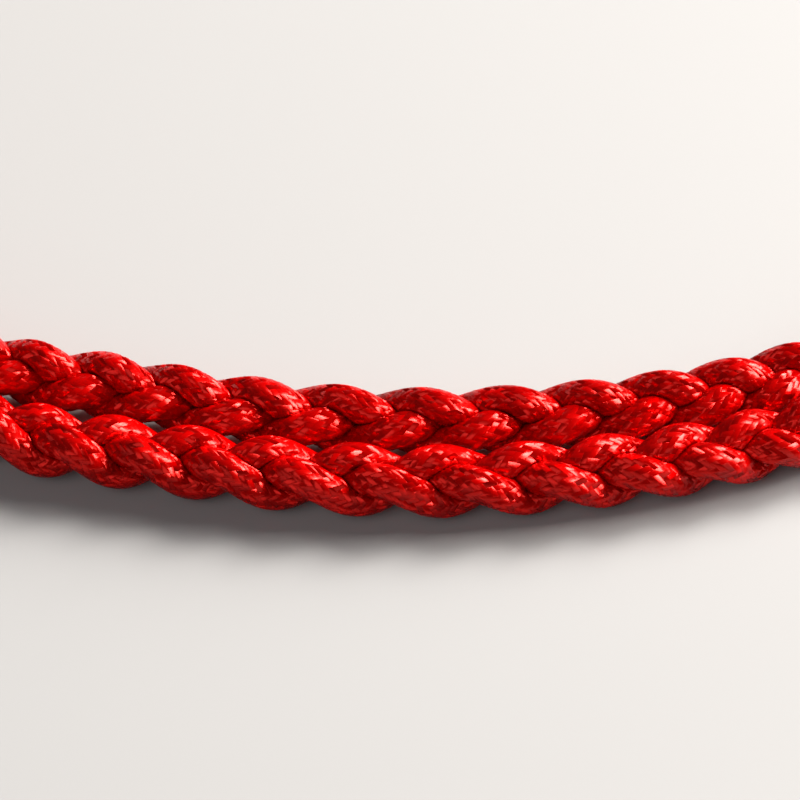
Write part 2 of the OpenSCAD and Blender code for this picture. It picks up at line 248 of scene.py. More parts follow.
def rope_frame(s):
    """The rope's centre, its direction and the plait's face and width axes at distances along it."""
    reach = 2 * MM
    inside = np.clip(s, reach, ROPE_LEN - reach)
    here, ahead, behind = (np.stack([np.interp(at, LINE_S, LINE[:, k]) for k in range(3)], axis=1)
                           for at in (inside, inside + reach, inside - reach))
    along = ahead - behind
    along /= np.linalg.norm(along, axis=1)[:, None]
    here = here + (s - inside)[:, None] * along
    angle = np.interp(s, LINE_S, LINE_ANGLES)
    outer = OUTER_ROLL + OUTER_TWIST * np.clip(angle - OUTER_FRONT, -TWIST_SPAN, TWIST_SPAN)
    inner = INNER_ROLL + INNER_TWIST * np.clip(angle - INNER_FRONT, -TWIST_SPAN, TWIST_SPAN)
    t = eased((angle - OUTER_FRONT - ROLL_HOLD) / (INNER_FRONT - OUTER_FRONT - 2 * ROLL_HOLD))
    roll = np.radians(outer * (1 - t) + inner * t)[:, None]
    upright, outward = square_to(along, np.tile(UPRIGHT, (len(s), 1)))
    face = np.cos(roll) * upright + np.sin(roll) * outward
    return here, along, face, np.cross(face, along)


def even_phase(s):
    """The plait's phase without the shifts that bring it to its chosen values."""
    phase = 2 * np.pi * s / PLAIT_REPEAT
    for front in FRONT_S:
        u = np.clip((s - front) / TIGHT_REACH, -1, 1) * 2 * np.pi
        phase = phase + np.where(u < 0, *TIGHTEN) * (u - np.sin(u))
    return phase


def plait_phase(s):
    """The plait's phase, which has its own chosen value at the front of each turn."""
    shifts = [(want - even_phase(at) + np.pi) % (2 * np.pi) - np.pi
              for want, at in zip((OUTER_PHASE, INNER_PHASE), FRONT_S)]
    t = eased((s - FRONT_S[0] - PHASE_HOLD) / (FRONT_S[1] - FRONT_S[0] - 2 * PHASE_HOLD))
    return even_phase(s) + shifts[0] * (1 - t) + shifts[1] * t


def sheath_height(turn, run):
    """Height of the sheath's yarns, 0 to 1, from turns around the cord and distance along it."""
    x, y = turn * YARNS, run / YARN_LAY
    p, q = x + y, x - y
    over = (np.floor(p) + np.floor(q)) % WEAVE < WEAVE / 2
    across = np.where(over, p % 1, q % 1) * 2 - 1
    return 1 - across**4


def cord_points(s, share):
    """A cord's path at distances along the rope, with its phase and the axes square to it."""
    centre, along, face, width = rope_frame(s)
    phase = plait_phase(s) + 2 * np.pi * share
    x, z = figure(phase)
    path = centre + x[:, None] * width + z[:, None] * face
    local = cord_tangent(phase)
    tangent = local[:, :1] * along + local[:, 1:2] * width + local[:, 2:] * face
    tangent /= np.linalg.norm(tangent, axis=1)[:, None]
    return path, phase, *square_to(tangent, face)


def cord_stations(share):
    """Distances along the rope for a cord's rings, and how many sides each ring has."""
    s = np.arange(-END_LAP, ROPE_LEN + END_LAP, MEASURE_STEP)
    path = cord_points(s, share)[0]
    run = np.concatenate([[0], np.cumsum(np.linalg.norm(np.diff(path, axis=0), axis=1))])
    fine_step = YARN_LAY / STEPS_A_LAY
    stops = [s[0], *(f + d * math.radians(FRONT_SPAN) * TURN_R for f in FRONT_S for d in (-1, 1)), s[-1]]
    stops = [round(float(np.interp(stop, s, run)) / fine_step) * fine_step for stop in stops]
    runs, sides = [], []
    # Between the stops the rope is coarse and fine by turns, and coarse at both ends
    for i, (a, b) in enumerate(zip(stops[:-1], stops[1:])):
        fine = i in (1, 3)
        steps = round((b - a) / (fine_step if fine else COARSE_STEP))
        part = np.linspace(a, b, steps + 1)
        if not fine:   # its outermost rings are those of the fine stretches beside it
            part = part[(1 if i else 0): (-1 if i < 4 else None)]
        runs.append(part)
        sides += [FINE_SIDES if fine else COARSE_SIDES] * len(part)
    runs = np.concatenate(runs)
    return np.interp(runs, run, s), runs, np.array(sides)


# A ring of a tube is its first corner's number, how many corners it has and how far along the tube it lies
def quads_between(here, there):
    """Faces between two rings with as many corners, and each face corner's place."""
    (a, n, u), (b, _, v) = here, there
    for k in range(n):
        k1 = (k + 1) % n
        yield (a + k, a + k1, b + k1, b + k), ((u, k / n), (u, (k + 1) / n), (v, (k + 1) / n), (v, k / n))


def fans_between(here, there):
    """Triangles between two rings, one of which has twice the other's corners, and their places."""
    order = -1 if here[1] < there[1] else 1
    few, many = sorted((here, there), key=lambda ring: ring[1])
    ratio = many[1] // few[1]
    for k in range(few[1]):
        for j in range(ratio):
            f = k * ratio + j
            fan = [((many, f), (many, f + 1), (few, k if j < ratio // 2 else k + 1))]
            if j == ratio // 2 - 1:
                fan.append(((many, f + 1), (few, k + 1), (few, k)))
            for triangle in fan:
                corners = [first + i % count for (first, count, _), i in triangle]
                spots = [(run, i / count) for (_, count, run), i in triangle]
                yield tuple(corners[::order]), tuple(spots[::order])


def join_rings(starts, sides, runs):
    """Faces between a tube's rings and over its ends, and each face corner's place along and around it."""
    rings = [(int(first), int(count), run) for first, count, run in zip(starts, sides, runs)]
    joined = []
    for here, there in zip(rings[:-1], rings[1:]):
        joined += quads_between(here, there) if here[1] == there[1] else fans_between(here, there)
    for (first, count, run), order in ((rings[0], -1), (rings[-1], 1)):
        corners = range(first, first + count)[::order]
        joined.append((tuple(corners), tuple((run, k / count) for k in range(count))))
    faces, places = zip(*joined)
    return faces, places


def mesh_object(name, verts, faces, places):
    mesh = bpy.data.meshes.new(name)
    mesh.from_pydata(verts.tolist(), [], faces)
    corners = np.array([corner for face in places for corner in face], dtype=np.float32)
    mesh.uv_layers.new(name="along_around").uv.foreach_set("vector", corners.ravel())
    mesh.validate()
    mesh.shade_smooth()
    obj = bpy.data.objects.new(name, mesh)
    bpy.context.collection.objects.link(obj)
    return obj


def plait_cord(name, share):
    """One of the rope's three cords, a share of a repeat ahead of the first."""
    s, runs, sides = cord_stations(share)
    path, phase, up, side = cord_points(s, share)
    verts = np.empty((int(sides.sum()), 3))
    starts = np.concatenate([[0], np.cumsum(sides)])[:-1]
    for n in (COARSE_SIDES, FINE_SIDES):
        turn = np.arange(n) / n
        rows = np.flatnonzero(sides == n)
        radius = radius_at(phase[rows], 2 * np.pi * turn)
        if n == FINE_SIDES:
            edge = np.minimum.reduce([np.abs(s[rows] - f) for f in FRONT_S])
            fade = eased((math.radians(FRONT_SPAN) * TURN_R - edge) / RELIEF_FADE)[:, None]
            yarns = sheath_height(turn[None, :], runs[rows, None]) - RELIEF_MIDDLE
            radius = radius + RELIEF * yarns * fade
        ring = path[rows, None] + radius[..., None] * rays(2 * np.pi * turn, up[rows], side[rows])
        verts[(starts[rows][:, None] + np.arange(n)).ravel()] = ring.reshape(-1, 3)
    return mesh_object(name, verts, *join_rings(starts, sides, runs))


# ---------------------------------------------------------------- node helpers
def give(tree, value, socket):
    """Sets a socket to a number or colour, or links it to another node's output."""
    if hasattr(value, "is_output"):
        tree.links.new(value, socket)
    else:
        socket.default_value = value


def calc(tree, operation, *inputs):
    node = tree.nodes.new("ShaderNodeMath")
    node.operation = operation
    for value, socket in zip(inputs, node.inputs):
        give(tree, value, socket)
    return node.outputs[0]


def mixed(tree, amount, a, b):
    """A colour between a and b."""
    node = tree.nodes.new("ShaderNodeMix")
    node.data_type = "RGBA"
    give(tree, amount, node.inputs[0])
    give(tree, a, node.inputs[6])
    give(tree, b, node.inputs[7])
    return node.outputs[2]


def combined(tree, x, y, z):
    node = tree.nodes.new("ShaderNodeCombineXYZ")
    for value, socket in zip((x, y, z), node.inputs):
        give(tree, value, socket)
    return node.outputs[0]


def noise(tree, vector, scale, detail=2.0, roughness=0.5):
    node = tree.nodes.new("ShaderNodeTexNoise")
    node.inputs["Scale"].default_value = scale
    node.inputs["Detail"].default_value = detail
    node.inputs["Roughness"].default_value = roughness
    tree.links.new(vector, node.inputs["Vector"])
    return node.outputs["Fac"]


def random_of(tree, vector):
    node = tree.nodes.new("ShaderNodeTexWhiteNoise")
    tree.links.new(vector, node.inputs["Vector"])
    return node.outputs["Value"]


def moved_on(tree, vector):
    """The same vector a little further on, for a second random value of its own."""
    node = tree.nodes.new("ShaderNodeVectorMath")
    node.operation = "ADD"
    tree.links.new(vector, node.inputs[0])
    node.inputs[1].default_value = (11.5, 7.5, 3.5)
    return node.outputs[0]


def ranged(tree, value, low, high, to_low, to_high):
    """A value that goes smoothly from to_low to to_high while the given one goes from low to high."""
    node = tree.nodes.new("ShaderNodeMapRange")
    node.interpolation_type = "SMOOTHSTEP"
    for given, socket in zip((value, low, high, to_low, to_high), node.inputs):
        give(tree, given, socket)
    return node.outputs[0]


def new_material(name, **settings):
    """A material and its shader, with the settings that are the same all over."""
    material = bpy.data.materials.new(name)
    material.use_nodes = True
    shader = material.node_tree.nodes["Principled BSDF"]
    for key, value in settings.items():
        shader.inputs[key.replace("_", " ")].default_value = value
    return material, material.node_tree, shader


def bump(tree, shader, height, distance, strength=1.0):
    node = tree.nodes.new("ShaderNodeBump")
    node.inputs["Distance"].default_value = distance
    node.inputs["Strength"].default_value = strength
    tree.links.new(height, node.inputs["Height"])
    tree.links.new(node.outputs[0], shader.inputs["Normal"])


def cord_places(tree):
    """Distance along a cord in metres, and turns around it."""
    uv = tree.nodes.new("ShaderNodeUVMap")
    uv.uv_map = "along_around"
    split = tree.nodes.new("ShaderNodeSeparateXYZ")
    tree.links.new(uv.outputs[0], split.inputs[0])
    return split.outputs[0], split.outputs[1]


DYE_DARK, DYE_LIGHT = (0.34, 0.0, 0.0, 1), (0.44, 0.0, 0.0, 1)
# The first colour on the next line is painted shade for the crevices between the yarns
PAINTED_SHADE_BETWEEN_YARNS, DYE_RUBBED = (0.16, 0.0, 0.0, 1), (0.6, 0.006, 0.005, 1)
FILAMENTS, FILAMENT_STRETCH = 9.0, 0.55     # across a yarn, and along it
OTHER_YARNS = 57.0                          # keeps the numbers of the two directions' yarns apart
RUBBED_SCALE = 60.0


def sheath_material():
    """Red filament yarns, each over two others; every float lies at its own slant and shines by itself."""
    material, tree, shader = new_material("braided_red", Specular_Tint=(1, 0.036, 0.028, 1), IOR=3.0)
    along, around = cord_places(tree)
    x, y = calc(tree, "MULTIPLY", around, YARNS), calc(tree, "DIVIDE", along, YARN_LAY)
    p, q = calc(tree, "ADD", x, y), calc(tree, "SUBTRACT", x, y)
    pi, qi = calc(tree, "FLOOR", p), calc(tree, "FLOOR", q)
    crossing = calc(tree, "ADD", pi, qi)
    over = calc(tree, "LESS_THAN", calc(tree, "FLOORED_MODULO", crossing, WEAVE), WEAVE / 2)
    under = calc(tree, "SUBTRACT", 1.0, over)

    def pick(a, b):
        return calc(tree, "ADD", calc(tree, "MULTIPLY", a, over), calc(tree, "MULTIPLY", b, under))

    across = calc(tree, "SUBTRACT", calc(tree, "MULTIPLY", calc(tree, "FRACT", pick(p, q)), 2.0), 1.0)
    crown = calc(tree, "SUBTRACT", 1.0, calc(tree, "POWER", calc(tree, "ABSOLUTE", across), 4.0))
    float_way = calc(tree, "FLOORED_MODULO", pick(calc(tree, "ADD", pi, q), calc(tree, "ADD", p, qi)), 2.0)
    slope_way = calc(tree, "SUBTRACT", float_way, 1.0)
    yarn = pick(pi, calc(tree, "ADD", qi, OTHER_YARNS))
    float_id = combined(tree, yarn, calc(tree, "FLOOR", calc(tree, "DIVIDE", crossing, WEAVE)), over)
    chance, chance_across = random_of(tree, float_id), random_of(tree, moved_on(tree, float_id))
    filament_place = combined(tree, calc(tree, "MULTIPLY", pick(p, q), FILAMENTS),
                              calc(tree, "MULTIPLY", pick(q, p), FILAMENT_STRETCH), yarn)
    filaments = noise(tree, filament_place, 1.0, 1.0)
    tilt = calc(tree, "MULTIPLY", calc(tree, "SUBTRACT", chance, 0.5), slope_way)
    lean = calc(tree, "MULTIPLY", calc(tree, "SUBTRACT", chance_across, 0.5), across)
    arch = calc(tree, "MULTIPLY", slope_way, slope_way)
    height = calc(tree, "MULTIPLY", crown, CROWN_BUMP)
    for part, strength in ((filaments, FILAMENT_BUMP), (tilt, TILT_BUMP), (lean, LEAN_BUMP)):
        height = calc(tree, "ADD", height, calc(tree, "MULTIPLY", part, strength))
    height = calc(tree, "SUBTRACT", height, calc(tree, "MULTIPLY", arch, ARCH_BUMP))
    bump(tree, shader, height, BUMP_DEPTH)
    rubbed = noise(tree, combined(tree, calc(tree, "MULTIPLY", along, RUBBED_SCALE), around, 0.0), 1.0)
    base = mixed(tree, chance, DYE_DARK, DYE_LIGHT)
    # Painted shade: the base is darkened a little where the yarns' crowns fall away into the crevices
    # between them
    base = mixed(tree, ranged(tree, crown, 0.0, 0.45, 0.1, 0.0), base, PAINTED_SHADE_BETWEEN_YARNS)
    base = mixed(tree, ranged(tree, rubbed, 0.62, 0.8, 0.0, 0.25), base, DYE_RUBBED)
    give(tree, base, shader.inputs["Base Color"])
    rough = calc(tree, "ADD", 0.1, calc(tree, "MULTIPLY", chance_across, 0.14))
    give(tree, rough, shader.inputs["Roughness"])
    return material


def dress(obj, material):
    """Puts one material on a piece."""
    obj.data.materials.clear()
    obj.data.materials.append(material)


braided_red = sheath_material()
cords = [plait_cord(f"plait_cord_{k}", (k - 1) / 3) for k in (1, 2, 3)]
for cord in cords:
    dress(cord, braided_red)
    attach(cord, "rope")
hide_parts("rope_lead", "rope_coil", "rope_tail")
ROPE_PATH = [tuple(p) for p in rope_frame(np.linspace(-END_LAP, ROPE_LEN + END_LAP, PATH_POINTS))[0]]


# ---------------------------------------------------------------- tubes along a path
def sweep(path, radius, sides, upright):
    """A closed tube's vertices, faces and places; radius is one number, or one for each ring and side."""
    tangent = np.gradient(path, axis=0)
    tangent /= np.linalg.norm(tangent, axis=1)[:, None]
    up, side = square_to(tangent, np.broadcast_to(np.asarray(upright, float), path.shape))
    turn = np.arange(sides) / sides
    radius = np.broadcast_to(radius, (len(path), sides))
    verts = (path[:, None] + radius[..., None] * rays(2 * np.pi * turn, up, side)).reshape(-1, 3)
    runs = np.concatenate([[0], np.cumsum(np.linalg.norm(np.diff(path, axis=0), axis=1))])
    starts = np.arange(len(path)) * sides
    return verts, *join_rings(starts, np.full(len(path), sides), runs)


def tubes_object(name, tubes):
    """Several tubes as one object."""
    verts, faces, places, count = [], [], [], 0
    for v, f, p in tubes:
        verts.append(v)
        faces += [tuple(i + count for i in face) for face in f]
        places += p
        count += len(v)
    return mesh_object(name, np.concatenate(verts), faces, places)


def point_value(obj, name, values):
    """A number at each vertex, for a material to read."""
    attribute = obj.data.attributes.new(name, "FLOAT", "POINT")
    attribute.data.foreach_set("value", np.asarray(values, dtype=np.float32))


# ---------------------------------------------------------------- the eye around the snap's bar
eye_low, eye_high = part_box("rope_eye")
WHIP_X, WHIP_Z = whip_high.x, (whip_low.z + whip_high.z) / 2
BAR_Z = (eye_low.z + eye_high.z) / 2
EYE_R = (eye_high.z - eye_low.z) / 2
BAR_X = eye_high.x - EYE_R
BIGHT_THICK = 4.64 * MM                 # a cord pressed around the bar
BIGHT_R = EYE_R - BIGHT_THICK / 2 - 0.06 * MM
MID_LAYER, SIDE_LAYER = 2.9 * MM, 1.95 * MM   # half a cord's height inside the whipping
WHIP_HALF_W, BAR_HALF_W = 2.42 * MM, 2.95 * MM
EYE_INSIDE = 8 * MM                     # how far the eye's cords run inside the whipping
LEG_POINTS, LEG_FROM = 100, 4 * MM
LEG_BOW = 0.55                          # share of each leg's rise that is curved
ROUND_END, ROUND_POINTS = 84, 45        # degrees around the bar at which the legs meet its bend
FLATTEN_OVER = 12 * MM
LANE_GAP = 1.01                         # the three cords lie this share of their width apart
PRESS = 2.5                             # how square a pressed cord is: 2 would be an oval
EYE_RELIEF_MIDDLE, TIP_RELIEF_MIDDLE = 0.85, 0.8


def bight(lane):
    """One cord from inside the whipping, over the bar and back under it."""
    layer = SIDE_LAYER if lane else MID_LAYER
    x_in = WHIP_X - EYE_INSIDE
    x = x_in + (BAR_X - x_in) * np.linspace(0, 1, LEG_POINTS)
    curved = eased((x - WHIP_X + LEG_FROM) / (BAR_X - WHIP_X + LEG_FROM))
    straight = np.clip((x - WHIP_X) / (BAR_X - WHIP_X), 0, 1)
    rise = curved * LEG_BOW + (1 - LEG_BOW) * straight
    top = np.stack([x, WHIP_Z + layer + (BAR_Z + BIGHT_R - WHIP_Z - layer) * rise], axis=1)
    low = np.stack([x, WHIP_Z - layer + (BAR_Z - BIGHT_R - WHIP_Z + layer) * rise], axis=1)[::-1]
    a = np.radians(np.linspace(ROUND_END, -ROUND_END, ROUND_POINTS))
    round_bar = np.stack([BAR_X + BIGHT_R * np.cos(a), BAR_Z + BIGHT_R * np.sin(a)], axis=1)
    xz = np.concatenate([top, round_bar, low])
    near_bar = eased((xz[:, 0] - WHIP_X) / FLATTEN_OVER)
    half_w = WHIP_HALF_W + (BAR_HALF_W - WHIP_HALF_W) * near_bar
    half_t = layer + (BIGHT_THICK / 2 - layer) * near_bar
    y = AXIS_Y + lane * 2 * half_w * LANE_GAP
    path = np.stack([xz[:, 0], y, xz[:, 1]], axis=1)
    run = np.concatenate([[0], np.cumsum(np.linalg.norm(np.diff(path, axis=0), axis=1))])
    at = np.arange(0, run[-1], YARN_LAY / STEPS_A_LAY)
    path = np.stack([np.interp(at, run, path[:, k]) for k in range(3)], axis=1)
    half_w, half_t = np.interp(at, run, half_w)[:, None], np.interp(at, run, half_t)[:, None]
    turn = np.arange(FINE_SIDES) / FINE_SIDES
    a = 2 * np.pi * turn[None]
    radius = (np.abs(np.cos(a) / half_w) ** PRESS + np.abs(np.sin(a) / half_t) ** PRESS) ** (-1 / PRESS)
    radius = radius + RELIEF * (sheath_height(turn[None], at[:, None]) - EYE_RELIEF_MIDDLE)
    return sweep(path, radius, FINE_SIDES, (0, 1, 0))


def eye_cords():
    obj = tubes_object("eye_cords", [bight(lane) for lane in (-1, 0, 1)])
    dress(obj, braided_red)
    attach(obj, "rope")
    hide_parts("rope_eye")
    return obj


# ---------------------------------------------------------------- whippings of waxed twine
TWINE_SIDES = 8
TURN_POINTS = 42
TUCK_TURN = 0.1                         # share of a turn over which each end dives under the next turn
UNEVEN = 0.018 * MM
TWINE_SQUEEZE = 1.03                    # neighbouring turns press into each other
PLAIT_HALF_W, PLAIT_HALF_T = ROPE_D / 2 + TWINE_D / 2, 5.9 * MM
FIRST_TURN_AT = 0.31                    # radians around the binding at which the twine starts
EYE_TAPER_FROM, TAIL_TAPER_FROM = 0.6, 0.45
EYE_SEED, TAIL_SEED = 7, 11
TWINE_LAY, TWINE_PLIES = 2.4 * MM, 3.0
TWINE_DARK, TWINE_LIGHT = (0.15, 0.004, 0.006, 1), (0.27, 0.012, 0.014, 1)
# The first colour on the next line is painted shade for the grooves between the twine's plies
TWINE_PAINTED_SHADE, TWINE_FADED = (0.04, 0.001, 0.002, 1), (0.34, 0.03, 0.028, 1)


def twine_material():
    """Three twisted plies under wax, faded in patches."""
    material, tree, shader = new_material("waxed_twine", Specular_Tint=(1, 0.5, 0.45, 1), IOR=1.45)
    along, around = cord_places(tree)
    twist = calc(tree, "ADD", calc(tree, "MULTIPLY", along, 1 / TWINE_LAY),
                 calc(tree, "MULTIPLY", around, TWINE_PLIES))
    across = calc(tree, "SUBTRACT", calc(tree, "MULTIPLY", calc(tree, "FRACT", twist), 2.0), 1.0)
    ply = calc(tree, "SUBTRACT", 1.0, calc(tree, "MULTIPLY", across, across))
    fibre_place = combined(tree, calc(tree, "MULTIPLY", twist, 6.0),
                           calc(tree, "MULTIPLY", along, 700.0), 0.0)
    fibres = noise(tree, fibre_place, 1.0)
    height = calc(tree, "ADD", ply, calc(tree, "MULTIPLY", fibres, 0.5))
    bump(tree, shader, height, 0.09 * MM)
    faded = noise(tree, combined(tree, calc(tree, "MULTIPLY", along, 90.0), 0.0, 0.0), 1.0)
    base = mixed(tree, fibres, TWINE_DARK, TWINE_LIGHT)
    # Painted shade: the base goes nearly black in the grooves between the plies
    base = mixed(tree, ranged(tree, ply, 0.0, 0.6, 0.7, 0.0), base, TWINE_PAINTED_SHADE)
    base = mixed(tree, ranged(tree, faded, 0.5, 0.8, 0.0, 0.4), base, TWINE_FADED)
    give(tree, base, shader.inputs["Base Color"])
    give(tree, ranged(tree, faded, 0.3, 0.7, 0.38, 0.6), shader.inputs["Roughness"])
    return material


def bent(a, r, flat):
    """A stadium: two half circles of radius r, a straight of length flat apart."""
    return np.stack([np.sign(np.cos(a)) * flat / 2 + r * np.cos(a), r * np.sin(a)], axis=1)


def round_three(a, r, off):
    """The tight line around three circles of radius r that lie off from the middle."""
    nearest = np.radians(np.round((np.degrees(a) - 90) / 120) * 120 + 90)
    return np.stack([off * np.cos(nearest) + r * np.cos(a), off * np.sin(nearest) + r * np.sin(a)], axis=1)


def oval(a, half_w, half_t, roll):
    """An ellipse around the plait, its long axis turned by roll from the horizontal."""
    x, y = half_w * np.cos(a - roll), half_t * np.sin(a - roll)
    return np.stack([x * np.cos(roll) - y * np.sin(roll), x * np.sin(roll) + y * np.cos(roll)], axis=1)


def wound(origin, along, side, up, length, outline, seed):
    """Twine wound side by side over a length, its middle line at outline(angles, share of the length)."""
    turns = int(length / TWINE_D)
    t = np.linspace(0, 1, turns * TURN_POINTS + 1)
    a = 2 * np.pi * turns * t + FIRST_TURN_AT
    xy = outline(a, t[:, None])
    rng = np.random.default_rng(seed)
    thirds = np.arange(turns * 3 + 1)
    loose = np.interp(t * turns, thirds / 3, rng.normal(0, UNEVEN, len(thirds)))
    end_turns = np.minimum(t, 1 - t) * turns
    tuck = -TWINE_D * (1 - eased(end_turns / TUCK_TURN))
    out = xy / np.linalg.norm(xy, axis=1)[:, None]
    xy = xy + (loose + tuck)[:, None] * out
    lean = TWINE_D / 2 + (length - TWINE_D) * t
    path = np.asarray(origin) + lean[:, None] * along + xy[:, :1] * side + xy[:, 1:] * up
    return sweep(path, TWINE_D / 2 * TWINE_SQUEEZE, TWINE_SIDES, along)


def binding(name, tube, node):
    obj = tubes_object(name, [tube])
    dress(obj, waxed_twine)
    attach(obj, "rope")
    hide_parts(node)
    return obj


def eye_whipping():
    high, wide = whip_high.z - whip_low.z, whip_high.y - whip_low.y
    r = high / 2 - TWINE_D / 2

    def outline(a, t):
        taper = eased((t - EYE_TAPER_FROM) / (1 - EYE_TAPER_FROM))
        return bent(a, r, wide - high) * (1 - taper) + oval(a, PLAIT_HALF_W, r, 0) * taper

    tube = wound((WHIP_X, AXIS_Y, WHIP_Z), np.array([-1.0, 0, 0]), np.array([0, 1.0, 0]), UPRIGHT,
                 whip_high.x - whip_low.x, outline, EYE_SEED)
    return binding("eye_twine", tube, "eye_whipping")


tail_heading = math.radians(TAIL_END + 90)
TAIL_ALONG = np.array([math.cos(tail_heading), math.sin(tail_heading), 0])
TAIL_SIDE = np.array([-TAIL_ALONG[1], TAIL_ALONG[0], 0])
TAIL_FROM = LINE[-1]
TAIL_WHIP_LEN = 18 * MM
TIP_R = 2.9 * MM
TIP_OFF = 2 * TIP_R / math.sqrt(3) + 0.05 * MM


def tail_whipping():
    roll = -math.radians(INNER_ROLL)

    def outline(a, t):
        tight = eased((t - TAIL_TAPER_FROM) / (1 - TAIL_TAPER_FROM))
        snug = oval(a, PLAIT_HALF_W, PLAIT_HALF_T, roll)
        return snug * (1 - tight) + round_three(a, TIP_R + TWINE_D / 2, TIP_OFF) * tight

    tube = wound(TAIL_FROM, TAIL_ALONG, TAIL_SIDE, UPRIGHT, TAIL_WHIP_LEN, outline, TAIL_SEED)
    return binding("tail_twine", tube, "tail_whipping")


# ---------------------------------------------------------------- sealed cord ends
TIP_LEN, TIP_SPREAD = 13 * MM, math.radians(7)
TIP_INSIDE = 7 * MM                     # how far the cords run inside the whipping
TIP_SAG = 5.0                           # metres down for each square metre of reach
TIP_SHORT = 0.35 * MM                   # the last ring lies this far inside the bead's end
MELT_FROM, MELT_OVER = 3.2 * MM, 1.4 * MM
BEAD_FROM, BEAD_WIDTH, BEAD_SWELL = 2.2 * MM, 0.9 * MM, 0.05
BEAD_CLOSED, LUMPS = 0.02, 0.035
MELTED_RED, MELTED_ROUGHNESS = (0.07, 0.002, 0.003, 1), 0.16


def sealed_material():
    """The braided cord, melted hard, dark and glossy at its very end."""
    material = braided_red.copy()
    material.name = "braided_red_sealed"
    tree = material.node_tree
    shader = tree.nodes["Principled BSDF"]
    melt = tree.nodes.new("ShaderNodeAttribute")
    melt.attribute_name = "melted"
    melted = melt.outputs["Fac"]
    colour, rough = (shader.inputs[name].links[0].from_socket for name in ("Base Color", "Roughness"))
    give(tree, mixed(tree, melted, colour, MELTED_RED), shader.inputs["Base Color"])
    give(tree, ranged(tree, melted, 0.0, 1.0, rough, MELTED_ROUGHNESS), shader.inputs["Roughness"])
    return material


def cord_tip(k):
    """One cord end, which stands out of the whipping, spread from the others and closed by a melted bead."""
    x = np.arange(-TIP_INSIDE, TIP_LEN - TIP_SHORT, YARN_LAY / STEPS_A_LAY)
    a = math.radians(120 * k + 90)
    outward = math.cos(a) * TAIL_SIDE + math.sin(a) * UPRIGHT
    off = TIP_OFF + np.maximum(x, 0) * math.tan(TIP_SPREAD)
    sag = TIP_SAG * np.maximum(x, 0) ** 2
    path = (TAIL_FROM + (TAIL_WHIP_LEN + x)[:, None] * TAIL_ALONG + off[:, None] * outward
            - sag[:, None] * UPRIGHT)
    turn = np.arange(FINE_SIDES) / FINE_SIDES
    melted = eased((x - TIP_LEN + MELT_FROM) / MELT_OVER)
    bead = 1 + BEAD_SWELL * np.exp(-(((x - TIP_LEN + BEAD_FROM) / BEAD_WIDTH) ** 2))
    past = np.clip((x - TIP_LEN + BEAD_FROM) / BEAD_FROM, 0, 1)
    profile = TIP_R * bead * np.sqrt(np.clip(1 - past**2, BEAD_CLOSED, 1))
    lumps = 1 + LUMPS * np.sin(3 * 2 * np.pi * turn + 2 * k)[None] * melted[:, None]
    yarns = RELIEF * (sheath_height(turn[None], x[:, None]) - TIP_RELIEF_MIDDLE) * (1 - melted)[:, None]
    radius = profile[:, None] * lumps + yarns
    return sweep(path, radius, FINE_SIDES, outward), np.repeat(melted, FINE_SIDES)


def cord_tips():
    tips = [cord_tip(k) for k in range(3)]
    obj = tubes_object("sealed_tips", [tip for tip, _ in tips])
    point_value(obj, "melted", np.concatenate([melted for _, melted in tips]))
    dress(obj, sealed_material())
    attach(obj, "rope")
    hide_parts("cord_tips")
    return obj


waxed_twine = twine_material()
eye_loops = eye_cords()
eye_binding = eye_whipping()
tail_binding = tail_whipping()
tips = cord_tips()

# ---------------------------------------------------------------- brass and spring steel
BRASS_CAST = (0.58, 0.40, 0.16, 1), (0.66, 0.48, 0.21, 1)
BRASS_BROWNED, BRASS_SPOTTED = (0.36, 0.235, 0.10, 1), (0.20, 0.125, 0.06, 1)
BRASS_IN_CORNERS, BRASS_ON_EDGES = (0.10, 0.065, 0.035, 1), (0.78, 0.60, 0.30, 1)
BRASS_TURNED = (0.60, 0.43, 0.18, 1), (0.72, 0.55, 0.27, 1)
TURNED_BROWNED, TURNED_SPOTTED = (0.40, 0.26, 0.11, 1), (0.22, 0.14, 0.07, 1)
STEEL, STEEL_RUST = ((0.30, 0.30, 0.31, 1), (0.52, 0.51, 0.50, 1)), (0.16, 0.10, 0.07, 1)
WEAR_PASSES, WEAR_GAIN = 3, 3.0
WELD_GAP = 0.002 * MM
LATHE_FINE, LATHE_EVEN = 3200, 60       # how fast the turned marks change along the axis, and around it


def object_place(tree, scale=(1, 1, 1)):
    """A point of the piece in its own coordinates, stretched by scale."""
    coordinates = tree.nodes.new("ShaderNodeTexCoord")
    mapping = tree.nodes.new("ShaderNodeMapping")
    mapping.inputs["Scale"].default_value = scale
    tree.links.new(coordinates.outputs["Object"], mapping.inputs[0])
    return mapping.outputs[0]


